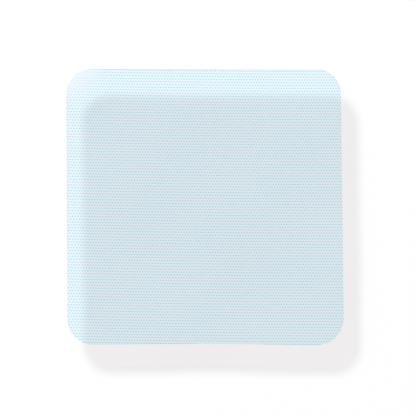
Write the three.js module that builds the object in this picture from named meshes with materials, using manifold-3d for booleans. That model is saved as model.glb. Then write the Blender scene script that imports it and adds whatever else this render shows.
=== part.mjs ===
// Hydrogel wound dressing: a soft clear gel sheet with a dotted cover film over its upper face.
// Millimetres, +Z up. The wound face lies on z = 0 and the sheet is centred on the origin.

import * as THREE from 'three';
import { mergeVertices } from 'three/addons/utils/BufferGeometryUtils.js';
import Module from 'manifold-3d';

// Cut size of the dressing
const sheetWidth = 100; // along X
const sheetLength = 100; // along Y
const cornerRadius = 9.5;
const cornerSegments = 14; // straight facets in each rounded corner

// Gel sheet
const gelThickness = 2.6;
const gelRimRadius = 0.5; // the lower rim is softly rounded where the gel has slumped
const gelRimSegments = 3;

// Cover film
const filmThickness = 0.3; // flat film between the rows of dots
const dotHeight = 0.1; // how far the dots stand up from the film
const dotDiameter = 0.56;
const dotCrownWidth = 0.26; // flat top of a dot
const rowPitch = 1.037; // from one row of dots to the next
const rowTurnDegrees = -0.42; // the sheet is cut a little off the line of the rows

// How far a cutting solid reaches past what it cuts
const cutReach = 2;

const wasm = await Module();
wasm.setup();

// A closed three.js geometry as a solid that can be cut
function solidFrom(geometry) {
  const points = geometry.clone();
  points.deleteAttribute('normal');
  points.deleteAttribute('uv');
  const merged = mergeVertices(points);
  const mesh = new wasm.Mesh({
    numProp: 3,
    vertProperties: new Float32Array(merged.getAttribute('position').array),
    triVerts: new Uint32Array(merged.getIndex().array),
  });
  return new wasm.Manifold(mesh);
}

// A cut solid back as a three.js geometry
function geometryFrom(solid) {
  const { vertProperties, triVerts } = solid.getMesh();
  const geometry = new THREE.BufferGeometry();
  geometry.setAttribute('position', new THREE.BufferAttribute(vertProperties, 3));
  geometry.setIndex(new THREE.BufferAttribute(triVerts, 1));
  geometry.computeVertexNormals();
  return geometry;
}

// The die-cut outline, a rectangle with round corners
function cutOutline() {
  const x = sheetWidth / 2 - cornerRadius;
  const y = sheetLength / 2 - cornerRadius;
  const quarter = Math.PI / 2;
  const outline = new THREE.Shape();
  outline.absarc(x, y, cornerRadius, 0, quarter);
  outline.absarc(-x, y, cornerRadius, quarter, 2 * quarter);
  outline.absarc(-x, -y, cornerRadius, 2 * quarter, 3 * quarter);
  outline.absarc(x, -y, cornerRadius, 3 * quarter, 4 * quarter);
  return outline;
}

// The gel: the outline drawn up, its lower rim rounded and its top cut flat for the film
function gelGeometry() {
  const slab = new THREE.ExtrudeGeometry(cutOutline(), {
    depth: gelThickness + cutReach,
    curveSegments: cornerSegments,
    bevelThickness: gelRimRadius,
    bevelSize: gelRimRadius,
    bevelOffset: -gelRimRadius,
    bevelSegments: gelRimSegments,
  });
  slab.translate(0, 0, gelRimRadius);
  const keep = new THREE.BoxGeometry(
    sheetWidth + 2 * cutReach,
    sheetLength + 2 * cutReach,
    gelThickness + cutReach,
  );
  keep.translate(0, 0, (gelThickness - cutReach) / 2);
  return geometryFrom(solidFrom(slab).intersect(solidFrom(keep)));
}

// Section of the film across its rows of dots: flat below, one low ridge for each row above
function filmSection(reach) {
  const rows = Math.ceil(reach / rowPitch);
  const section = new THREE.Shape();
  const end = (rows + 0.5) * rowPitch;
  const top = filmThickness + dotHeight;
  section.moveTo(-end, 0);
  section.lineTo(end, 0);
  section.lineTo(end, filmThickness);
  for (let row = rows; row >= -rows; row -= 1) {
    const y = row * rowPitch;
    section.lineTo(y + dotDiameter / 2, filmThickness);
    section.lineTo(y + dotCrownWidth / 2, top);
    section.lineTo(y - dotCrownWidth / 2, top);
    section.lineTo(y - dotDiameter / 2, filmThickness);
  }
  section.lineTo(-end, filmThickness);
  section.closePath();
  return section;
}

// The film: the section drawn out along its rows, turned a little and cut with the same outline
function filmGeometry() {
  const halfDiagonal = Math.hypot(sheetWidth, sheetLength) / 2;
  const web = new THREE.ExtrudeGeometry(filmSection(halfDiagonal), {
    depth: 2 * halfDiagonal,
    bevelEnabled: false,
  });
  web.translate(0, 0, -halfDiagonal);
  const alongX = new THREE.Matrix4().makeBasis(
    new THREE.Vector3(0, 1, 0),
    new THREE.Vector3(0, 0, 1),
    new THREE.Vector3(1, 0, 0),
  );
  web.applyMatrix4(alongX);
  web.rotateZ(THREE.MathUtils.degToRad(rowTurnDegrees));
  web.translate(0, 0, gelThickness);
  const die = new THREE.ExtrudeGeometry(cutOutline(), {
    depth: filmThickness + dotHeight + 2 * cutReach,
    curveSegments: cornerSegments,
    bevelEnabled: false,
  });
  die.translate(0, 0, gelThickness - cutReach);
  return geometryFrom(solidFrom(web).intersect(solidFrom(die)));
}

// Clear hydrogel: water-white with a cool tint, glossy where it is wet
const hydrogel = new THREE.MeshStandardMaterial({
  color: 0xe4f4fa,
  roughness: 0.15,
  metalness: 0,
});

// Thin film carrying pale teal dots
const dottedFilm = new THREE.MeshStandardMaterial({
  color: 0xd3ebf3,
  roughness: 0.4,
  metalness: 0,
});

const gelSheet = new THREE.Mesh(gelGeometry(), hydrogel);
gelSheet.name = 'hydrogel_sheet';

const coverFilm = new THREE.Mesh(filmGeometry(), dottedFilm);
coverFilm.name = 'dotted_cover_film';

const dressing = new THREE.Group();
dressing.add(gelSheet, coverFilm);

export default dressing;
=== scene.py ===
import math

import bmesh
import bpy
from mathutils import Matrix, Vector


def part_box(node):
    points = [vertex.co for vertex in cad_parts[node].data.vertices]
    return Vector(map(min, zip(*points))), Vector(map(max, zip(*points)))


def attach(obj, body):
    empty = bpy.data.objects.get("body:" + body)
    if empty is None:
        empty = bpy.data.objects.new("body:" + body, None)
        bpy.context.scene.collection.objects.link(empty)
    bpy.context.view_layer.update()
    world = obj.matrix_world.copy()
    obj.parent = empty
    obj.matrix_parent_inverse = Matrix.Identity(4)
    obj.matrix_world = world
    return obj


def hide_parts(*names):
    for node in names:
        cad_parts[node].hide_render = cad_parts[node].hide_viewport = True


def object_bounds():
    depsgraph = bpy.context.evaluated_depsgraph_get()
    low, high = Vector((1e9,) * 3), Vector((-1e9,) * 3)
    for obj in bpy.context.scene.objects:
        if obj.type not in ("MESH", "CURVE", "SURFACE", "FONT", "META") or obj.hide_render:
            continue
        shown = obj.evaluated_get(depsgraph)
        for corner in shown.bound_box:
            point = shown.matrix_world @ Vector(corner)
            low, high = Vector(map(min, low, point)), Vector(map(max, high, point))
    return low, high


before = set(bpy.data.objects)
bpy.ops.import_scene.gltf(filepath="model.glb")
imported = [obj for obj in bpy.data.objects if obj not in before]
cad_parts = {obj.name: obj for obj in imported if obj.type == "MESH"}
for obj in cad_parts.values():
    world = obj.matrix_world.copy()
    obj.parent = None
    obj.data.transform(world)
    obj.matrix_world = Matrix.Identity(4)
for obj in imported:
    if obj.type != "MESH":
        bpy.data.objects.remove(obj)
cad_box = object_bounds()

# The camera looks straight down on the dressing, as the photograph does, from far enough away that the
# side walls stay hidden under the cut edge.
MM = 0.001
camera_height = 900 * MM
frame_width = 151.0 * MM  # what the square picture spans at the level of the dotted face
camera_offset = Vector((1.25 * MM, -0.54 * MM))  # the dressing lies a little left of and above the middle
dotted_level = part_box("dotted_cover_film")[1].z

camera_data = bpy.data.cameras.new("camera_above")
camera_data.sensor_width = 36
camera_data.lens = camera_data.sensor_width * camera_height / frame_width
camera = bpy.data.objects.new("camera_above", camera_data)
camera.location = (camera_offset.x, camera_offset.y, dotted_level + camera_height)
bpy.context.collection.objects.link(camera)
bpy.context.scene.camera = camera


# The hydrogel sheet: a slab of cross-linked water gel, cast as a web and die-cut with round corners.
# It is soft, so it has slumped a little out of square and lies with a gently uneven upper face.
corner_radii = {(-1, 1): 9.4 * MM,  # by the signs of x and y, here the upper left corner
                (1, 1): 8.7 * MM,
                (-1, -1): 9.5 * MM,
                (1, -1): 10.1 * MM}
corner_segments = 14
gel_lower_rim = 0.5 * MM
gel_upper_rim = 0.2 * MM
rim_segments = 3
grid_cuts = 40  # the flat faces are divided this many times each way, so that they can lie unevenly
same_place = 0.0001 * MM  # points closer together than this count as one

lean_of_sides = -0.0085  # across for each unit up
tilt_of_ends = -0.0024  # up for each unit across
spread_at_bottom = 0.2 * MM  # each lower corner has slumped this far outwards, each upper one inwards
drop_of_corners = 0.45 * MM  # the lower corners have crept this far down, the lower end's middle hardly
draw_in_of_ends = 0.12 * MM  # the gel has drawn in this far at its upper and lower end
ripple_height = 0.07 * MM
ripple_lengths = (71 * MM, 53 * MM)  # from crest to crest, across and up
ripple_slant = 0.35  # turns the ripples off the lines of the sides
ripple_phase = 0.8  # radians, keeps the crests off the middle of the sheet
sheet_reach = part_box("hydrogel_sheet")[1].x  # from the middle of the sheet to its sides


def slump(x, y):
    """How far a point of the cut sheet has moved in plan from where the die cut it."""
    across, up = x / sheet_reach, y / sheet_reach
    drop = drop_of_corners * across ** 2 * (2 - across ** 2) * max(-up, 0) ** 2
    return (lean_of_sides * y - spread_at_bottom * across * up,
            tilt_of_ends * x - draw_in_of_ends * up - drop)


def lay_down(bm):
    """Moves the points of a flat layer as the soft sheet has settled."""
    for point in bm.verts:
        x, y, z = point.co
        wave = math.sin(math.tau * (x + ripple_slant * y) / ripple_lengths[0] + ripple_phase)
        wave *= math.cos(math.tau * (y - ripple_slant * x) / ripple_lengths[1])
        moved = slump(x, y)
        point.co.x = x + moved[0]
        point.co.y = y + moved[1]
        point.co.z = z + ripple_height * wave * z / dotted_level


def layer_mesh(name, low, high, lower_rim, upper_rim):
    """A flat layer between two box corners, with round corners in plan and soft rims."""
    bm = bmesh.new()
    bmesh.ops.create_cube(bm, size=1)
    bmesh.ops.scale(bm, vec=high - low, verts=bm.verts)
    bmesh.ops.translate(bm, vec=(high + low) / 2, verts=bm.verts)
    for (side, end), radius in corner_radii.items():
        upright = [e for e in bm.edges if all(v.co.x * side > 0 and v.co.y * end > 0 for v in e.verts)]
        bmesh.ops.bevel(bm, geom=upright, offset=radius, offset_type="OFFSET",
                        segments=corner_segments, profile=0.5, affect="EDGES", material=-1)
    for level, rim in ((low.z, lower_rim), (high.z, upper_rim)):
        edges = [e for e in bm.edges if all(abs(v.co.z - level) < same_place for v in e.verts)]
        bmesh.ops.bevel(bm, geom=edges, offset=rim, offset_type="OFFSET",
                        segments=rim_segments, profile=0.5, affect="EDGES", material=-1)
    for axis in (0, 1):
        normal = Vector((0, 0, 0))
        normal[axis] = 1
        for cut in range(1, grid_cuts):
            place = low.lerp(high, cut / grid_cuts)
            bmesh.ops.bisect_plane(bm, geom=bm.verts[:] + bm.edges[:] + bm.faces[:],
                                   plane_co=place, plane_no=normal, dist=same_place)
    lay_down(bm)
    mesh = bpy.data.meshes.new(name)
    bm.to_mesh(mesh)
    bm.free()
    mesh.shade_smooth()
    return mesh


def piece_from(mesh, material):
    """Puts a finished mesh into the scene, riding on the dressing's one body."""
    piece = bpy.data.objects.new(mesh.name, mesh)
    bpy.context.collection.objects.link(piece)
    mesh.materials.append(material)
    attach(piece, "root")
    return piece


def linear(code):
    """An sRGB hex colour as linear RGBA."""
    parts = [int(code[i:i + 2], 16) / 255 for i in (0, 2, 4)]
    return [c / 12.92 if c <= 0.04045 else ((c + 0.055) / 1.055) ** 2.4 for c in parts] + [1.0]


def add(tree, kind, inputs=None, **settings):
    """Adds a node, with its settings, its sockets' values and its links."""
    made = tree.nodes.new(kind)
    for name, value in settings.items():
        setattr(made, name, value)
    for socket, value in (inputs or {}).items():
        if isinstance(value, bpy.types.NodeSocket):
            tree.links.new(value, made.inputs[socket])
        else:
            made.inputs[socket].default_value = value
    return made


def new_material(name):
    """An empty node material."""
    material = bpy.data.materials.new(name)
    material.use_nodes = True
    material.node_tree.nodes.clear()
    return material, material.node_tree


# Cast water gel: almost as clear as water, with a cool cast that shows where the eye looks along its
# rim and walls, and a wet gloss that grows at low angles. The light on the table passes through it.
gel_tints = ("EDF2FA", "F6F7FC")
gel_through_rim = "F3FAFB"
gel_roughness = 0.12
gel_ior = 1.36  # a little above water's
gel_haze = 0.01  # share of the view that the gel's own cloud takes, straight on
gel_gloss_at_edge = 0.5  # share of the view that the wet gloss takes along the rim
gel_gloss_power = 3.0
gel_cloud_size = 14 * MM
even_blend = 0.5  # at this blend Layer Weight's Facing runs evenly from straight on to edge on

cast_water_gel, tree = new_material("cast_water_gel")
place = add(tree, "ShaderNodeTexCoord")
cloud = add(tree, "ShaderNodeTexNoise", {"Vector": place.outputs["Object"], "Scale": 1 / gel_cloud_size,
                                         "Detail": 3.0, "Roughness": 0.6})
tone = add(tree, "ShaderNodeValToRGB", {"Fac": cloud.outputs["Fac"]})
tone.color_ramp.elements[0].color = linear(gel_tints[0])
tone.color_ramp.elements[1].color = linear(gel_tints[1])
body = add(tree, "ShaderNodeBsdfPrincipled", {"Base Color": tone.outputs["Color"],
                                              "Roughness": gel_roughness, "IOR": gel_ior})
clear = add(tree, "ShaderNodeBsdfTransparent", {"Color": linear("FFFFFF")})
facing = add(tree, "ShaderNodeLayerWeight", {"Blend": even_blend})
depth = add(tree, "ShaderNodeValToRGB", {"Fac": facing.outputs["Facing"]})
depth.color_ramp.elements[0].color = linear("FFFFFF")
depth.color_ramp.elements[1].color = linear(gel_through_rim)
through = add(tree, "ShaderNodeBsdfTransparent", {"Color": depth.outputs["Color"]})
steep = add(tree, "ShaderNodeMath", {0: facing.outputs["Facing"], 1: gel_gloss_power}, operation="POWER")
share = add(tree, "ShaderNodeMath", {0: steep.outputs[0], 1: gel_gloss_at_edge, 2: gel_haze},
            operation="MULTIPLY_ADD")
seen = add(tree, "ShaderNodeMixShader", {0: share.outputs[0], 1: through.outputs[0], 2: body.outputs[0]})
# The shadow around the sheet is even up to its foot, so what lights the table passes through untinted.
rays = add(tree, "ShaderNodeLightPath")
light = add(tree, "ShaderNodeMath", {0: rays.outputs["Is Shadow Ray"], 1: rays.outputs["Is Diffuse Ray"]},
            operation="MAXIMUM")
lit = add(tree, "ShaderNodeMixShader", {0: light.outputs[0], 1: seen.outputs[0], 2: clear.outputs[0]})
add(tree, "ShaderNodeOutputMaterial", {"Surface": lit.outputs[0]})

gel_low, gel_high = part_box("hydrogel_sheet")
gel = piece_from(layer_mesh("gel_sheet", gel_low, gel_high, gel_lower_rim, gel_upper_rim),
                 cast_water_gel)
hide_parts("hydrogel_sheet")


# The cover film: a thin cast film laid over the gel and cut with the same die.
# Its cut edge is softly rounded.
film_lower_rim = 0.02 * MM
film_upper_rim = 0.12 * MM
dot_height = 0.1 * MM
film_seat = 0.02 * MM  # so that the two layers' faces never lie in one plane

# Cast polyurethane film: a clear film with a pale blue cast. Its milkiness hardly shows straight on, and
# grows at low angles, so that a raking light doesn't get through it.
film_through = "F5FBFE"  # for each of its two faces
film_milk = "FCFCFF"
film_roughness = 0.38
film_ior = 1.45
film_haze = 0.02  # share of the view that the milk takes, straight on
film_milk_at_edge = 16.0  # well over one, so that the milk is full a good way before the edge
film_milk_power = 12.0
highlight_corner = (-49 * MM, 49 * MM, dotted_level)  # painted highlight: the film is whitened around this upper left corner, on the lamp's side
highlight_reach = 15 * MM
highlight_haze = 0.38
film_grain = 0.35 * MM
film_relief = 0.02 * MM
film_relief_strength = 0.15

cast_film, tree = new_material("cast_polyurethane_film")
place = add(tree, "ShaderNodeTexCoord")
grain = add(tree, "ShaderNodeTexNoise", {"Vector": place.outputs["Object"], "Scale": 1 / film_grain,
                                         "Detail": 2.0, "Roughness": 0.5})
relief = add(tree, "ShaderNodeBump", {"Height": grain.outputs["Fac"], "Strength": film_relief_strength,
                                      "Distance": film_relief})
milk = add(tree, "ShaderNodeBsdfPrincipled", {"Base Color": linear(film_milk), "Roughness": film_roughness,
                                              "IOR": film_ior, "Normal": relief.outputs[0]})
tinted = add(tree, "ShaderNodeBsdfTransparent", {"Color": linear(film_through)})
clear = add(tree, "ShaderNodeBsdfTransparent", {"Color": linear("FFFFFF")})
# Light on its way to the table isn't tinted, but the milk stops it where it comes in low.
rays = add(tree, "ShaderNodeLightPath")
light = add(tree, "ShaderNodeMath", {0: rays.outputs["Is Shadow Ray"], 1: rays.outputs["Is Diffuse Ray"]},
            operation="MAXIMUM")
through = add(tree, "ShaderNodeMixShader", {0: light.outputs[0], 1: tinted.outputs[0], 2: clear.outputs[0]})
facing = add(tree, "ShaderNodeLayerWeight", {"Blend": even_blend})
steep = add(tree, "ShaderNodeMath", {0: facing.outputs["Facing"], 1: film_milk_power}, operation="POWER")
# Painted highlight: the milk grows towards the upper left corner and whitens the film there.
corner = add(tree, "ShaderNodeVectorMath", {0: place.outputs["Object"], 1: highlight_corner},
             operation="DISTANCE")
haze_and_highlight = add(tree, "ShaderNodeMapRange", {"Value": corner.outputs["Value"], "From Min": 0.0,
                                        "From Max": highlight_reach, "To Min": highlight_haze,
                                        "To Max": film_haze},
           interpolation_type="SMOOTHSTEP")
share = add(tree, "ShaderNodeMath", {0: steep.outputs[0], 1: film_milk_at_edge, 2: haze_and_highlight.outputs["Result"]},
            operation="MULTIPLY_ADD", use_clamp=True)
seen = add(tree, "ShaderNodeMixShader", {0: share.outputs[0], 1: through.outputs[0], 2: milk.outputs[0]})
add(tree, "ShaderNodeOutputMaterial", {"Surface": seen.outputs[0]})

film_low, film_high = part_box("dotted_cover_film")
film_low.z += film_seat
film_high.z -= dot_height
film = piece_from(layer_mesh("cover_film", film_low, film_high, film_lower_rim, film_upper_rim),
                  cast_film)
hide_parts("dotted_cover_film")


# The dots: thousands of low domes of see-through teal ink on the film, in rows whose dots are staggered.
# The film stretched a little when it was laid on the gel, so the rows waver, and the die cuts through
# the dots at the sheet's edge.
dot_pitch = 0.997 * MM
row_pitch = 1.037 * MM
row_turn = math.radians(-0.555)
row_lean = -0.010  # across for each unit up, on top of the turn
row_shift = Vector((-0.03 * MM, -0.07 * MM))
row_sag_at_top = 0.42 * MM  # how far the uppermost row lies below its even place
row_sag_from = 0.1  # where the sag begins, as a share of the way from the middle to the upper end
row_arch = 0.22 * MM  # how far a row's ends lie above its middle
dot_radius = 0.225 * MM
dot_crown_radius = 0.13 * MM
dot_drag = 1.38  # the squeegee drew the ink out this much along the rows
dot_sides = 8
dot_sink = 0.02 * MM  # a dot's foot stands this deep in the film
die_margin = 0.02 * MM  # a cut dot ends this far inside the film's edge
smallest_cut_dot = 0.06 * MM  # a dot whose middle is nearer the edge than this has come off with the waste
crown_faces_up = 0.9  # least upward part of a normal by which a dot's crown is told from its sides
doublings_across = 7  # 128 dots in a row, before the die cuts them
doublings_up = 6  # 64 rows in each of the two pieces


def past_outline(x, y):
    """How far a point lies outside the outline that the die cut, and the way out."""
    radius = corner_radii[math.copysign(1, x), math.copysign(1, y)]
    corner = Vector((max(abs(x) - film_high.x + radius, 0), max(abs(y) - film_high.y + radius, 0)))
    if corner.length == 0:
        return -radius, corner
    outwards = Vector((math.copysign(corner.x, x), math.copysign(corner.y, y))).normalized()
    return corner.length - radius, outwards


def stretch_rows(bm):
    """Turns and stretches the even rows as they lie at the end, less the slump, which lay_down adds."""
    for point in bm.verts:
        x, y, z = point.co
        along = x * math.cos(row_turn) - y * math.sin(row_turn) + row_lean * y + row_shift.x
        up = x * math.sin(row_turn) + y * math.cos(row_turn) + row_shift.y
        sag = min(max((up / sheet_reach - row_sag_from) / (1 - row_sag_from), 0), 1)
        up += row_arch * (along / sheet_reach) ** 2 - row_sag_at_top * sag * sag * (3 - 2 * sag)
        moved = slump(along, up)
        point.co = (along - moved[0], up - moved[1], z)


def dot_rows(name, start):
    """Every second row of dots, from one dome that is doubled along its row and then row by row."""
    bm = bmesh.new()
    depth = dot_height + dot_sink
    bmesh.ops.create_cone(bm, cap_ends=True, segments=dot_sides, radius1=dot_radius,
                          radius2=dot_crown_radius, depth=depth)
    bmesh.ops.scale(bm, vec=(dot_drag, 1, 1), verts=bm.verts)
    bmesh.ops.translate(bm, verts=bm.verts, vec=(0, 0, film_high.z - dot_sink + depth / 2))
    steps = [Vector((dot_pitch * 2 ** n, 0, 0)) for n in range(doublings_across)]
    steps += [Vector((0, 2 * row_pitch * 2 ** n, 0)) for n in range(doublings_up)]
    for step in steps:
        copy = bmesh.ops.duplicate(bm, geom=bm.verts[:] + bm.edges[:] + bm.faces[:])
        moved = [part for part in copy["geom"] if isinstance(part, bmesh.types.BMVert)]
        bmesh.ops.translate(bm, verts=moved, vec=step)
    middle = Vector((dot_pitch * 2 ** doublings_across, 2 * row_pitch * 2 ** doublings_up, 0)) / 2
    bmesh.ops.translate(bm, verts=bm.verts, vec=start - middle)
    stretch_rows(bm)

    spare = set()
    for crown in bm.faces:
        if crown.normal.z < crown_faces_up:
            continue
        centre = crown.calc_center_median()
        if past_outline(centre.x, centre.y)[0] > -smallest_cut_dot:
            for point in crown.verts:
                spare.add(point)
                spare.update(edge.other_vert(point) for edge in point.link_edges)
    bmesh.ops.delete(bm, geom=list(spare), context="VERTS")
    for point in bm.verts:
        outside, outwards = past_outline(point.co.x, point.co.y)
        if outside > -die_margin:
            point.co.x -= outwards.x * (outside + die_margin)
            point.co.y -= outwards.y * (outside + die_margin)
    lay_down(bm)
    mesh = bpy.data.meshes.new(name)
    bm.to_mesh(mesh)
    bm.free()
    mesh.shade_smooth()
    return mesh


# See-through teal ink, screen printed: it filters what is seen through it, so the dots darken with the
# shadow under the sheet, and it lies a little thicker in some dots than in others.
ink_thin = "E0F8FA"
ink_thick = "D6F3F5"
ink_body = "7CCBDC"
ink_roughness = 0.3
ink_ior = 1.45
ink_cover = 0.04  # share of the view that the ink's own body takes
ink_patch = 3 * MM  # dots within such a patch took about as much ink
ink_range = (0.3, 0.7)  # levels of the pattern at which the ink is thinnest and thickest
ink_faded_by_highlight = 0.62  # share of the ink faded out at the upper left corner, for the painted highlight there

teal_ink, tree = new_material("screened_teal_ink")
place = add(tree, "ShaderNodeTexCoord")
patch = add(tree, "ShaderNodeTexNoise", {"Vector": place.outputs["Object"], "Scale": 1 / ink_patch,
                                         "Detail": 3.0, "Roughness": 0.7})
tone = add(tree, "ShaderNodeValToRGB", {"Fac": patch.outputs["Fac"]})
for element, share, colour in zip(tone.color_ramp.elements, ink_range, (ink_thin, ink_thick)):
    element.position = share
    element.color = linear(colour)
# Painted highlight: the ink fades out towards the upper left corner, on the lamp's side.
corner = add(tree, "ShaderNodeVectorMath", {0: place.outputs["Object"], 1: highlight_corner},
             operation="DISTANCE")
highlight_fade = add(tree, "ShaderNodeMapRange", {"Value": corner.outputs["Value"], "From Min": 0.0,
                                        "From Max": highlight_reach, "To Min": ink_faded_by_highlight, "To Max": 0.0},
           interpolation_type="SMOOTHSTEP")
filtered = add(tree, "ShaderNodeBsdfTransparent", {"Color": tone.outputs["Color"]})
body = add(tree, "ShaderNodeBsdfPrincipled", {"Base Color": linear(ink_body), "Roughness": ink_roughness,
                                              "IOR": ink_ior})
inked = add(tree, "ShaderNodeMixShader", {0: ink_cover, 1: filtered.outputs[0], 2: body.outputs[0]})
clear = add(tree, "ShaderNodeBsdfTransparent", {"Color": linear("FFFFFF")})
seen = add(tree, "ShaderNodeMixShader", {0: highlight_fade.outputs["Result"], 1: inked.outputs[0],
                                         2: clear.outputs[0]})
# As in the gel, what lights the table passes through untinted.
rays = add(tree, "ShaderNodeLightPath")
light = add(tree, "ShaderNodeMath", {0: rays.outputs["Is Shadow Ray"], 1: rays.outputs["Is Diffuse Ray"]},
            operation="MAXIMUM")
lit = add(tree, "ShaderNodeMixShader", {0: light.outputs[0], 1: seen.outputs[0], 2: clear.outputs[0]})
add(tree, "ShaderNodeOutputMaterial", {"Surface": lit.outputs[0]})

piece_from(dot_rows("dots_even_rows", Vector((0, 0, 0))), teal_ink)
piece_from(dot_rows("dots_odd_rows", Vector((dot_pitch / 2, row_pitch, 0))), teal_ink)


# The table: a plain white sheet that takes the shadow.
table_size = 6.0  # metres, so that its edges stay out of low views
table_gap = 0.1 * MM  # keeps the table's face out of the gel's plane

bm = bmesh.new()
bmesh.ops.create_grid(bm, x_segments=1, y_segments=1, size=table_size / 2)
bmesh.ops.translate(bm, verts=bm.verts, vec=(0, 0, cad_box[0].z - table_gap))
mesh = bpy.data.meshes.new("white_table")
bm.to_mesh(mesh)
bm.free()
white_card, tree = new_material("matt_white_card")
card = add(tree, "ShaderNodeBsdfDiffuse", {"Color": linear("FCFCFC")})
add(tree, "ShaderNodeOutputMaterial", {"Surface": card.outputs[0]})
mesh.materials.append(white_card)
table = bpy.data.objects.new("white_table", mesh)
bpy.context.collection.objects.link(table)


# The light: an even white sky and one wide, low lamp at the top left, whose shadow falls far to the
# lower right although the sheet is thin. Both together light the table at a level of about one.
light_level = 1.03
key_share = (0.151, 0.170, 0.164)  # the lamp's part of the red, green and blue, the rest is the sky's
shadow_shift = Vector((6.8 * MM, -11.2 * MM))  # from the sheet's upper edge to that edge's shadow
shadow_softness = 4.5 * MM  # width of the shadow's blurred edge
key_distance = 10.0  # metres

drop = dotted_level + table_gap
key_elevation = math.atan2(drop, shadow_shift.length)
key_way = Vector((-shadow_shift.x, -shadow_shift.y, drop)).normalized()
key_data = bpy.data.lights.new("low_key", "AREA")
key_data.shape = "ELLIPSE"
key_data.size = key_distance * shadow_softness / shadow_shift.length
key_data.size_y = key_distance * shadow_softness * math.sin(key_elevation) ** 2 / drop
brightest = max(key_share)
key_data.color = [c / brightest for c in key_share]
# The power at which a white table, met at this slant, gives back the lamp's part of the level.
key_data.energy = brightest * light_level * math.pi ** 2 * key_distance ** 2 / math.sin(key_elevation)
key = bpy.data.objects.new("low_key", key_data)
key.location = key_way * key_distance
key.rotation_euler = key_way.to_track_quat("Z", "Y").to_euler()
key.visible_camera = False
bpy.context.collection.objects.link(key)

world = bpy.data.worlds.new("white_sky")
world.use_nodes = True
tree = world.node_tree
tree.nodes.clear()
sky_light = [light_level * (1 - c) for c in key_share] + [1.0]
sky = add(tree, "ShaderNodeBackground", {"Color": sky_light})
backdrop = add(tree, "ShaderNodeBackground", {"Color": linear("FFFFFF")})
rays = add(tree, "ShaderNodeLightPath")
shown = add(tree, "ShaderNodeMath", {0: rays.outputs["Is Camera Ray"], 1: rays.outputs["Is Glossy Ray"]},
            operation="MAXIMUM")
shown = add(tree, "ShaderNodeMath", {0: shown.outputs[0], 1: rays.outputs["Is Transmission Ray"]},
            operation="MAXIMUM")
mixed = add(tree, "ShaderNodeMixShader", {0: shown.outputs[0], 1: sky.outputs[0], 2: backdrop.outputs[0]})
add(tree, "ShaderNodeOutputWorld", {"Surface": mixed.outputs[0]})
bpy.context.scene.world = world
bpy.context.scene.view_settings.view_transform = "Standard"

# A low view crosses many faces of film, gel and ink. None of them is skipped by chance, which would
# be noise, and the quick prefilter keeps dots that are hardly three pixels apart.
faces_seen_through = 32
sure_light_bounces = 4
bpy.context.scene.cycles.transparent_max_bounces = faces_seen_through
bpy.context.scene.cycles.min_transparent_bounces = faces_seen_through
bpy.context.scene.cycles.min_light_bounces = sure_light_bounces
bpy.context.scene.cycles.denoising_prefilter = "FAST"
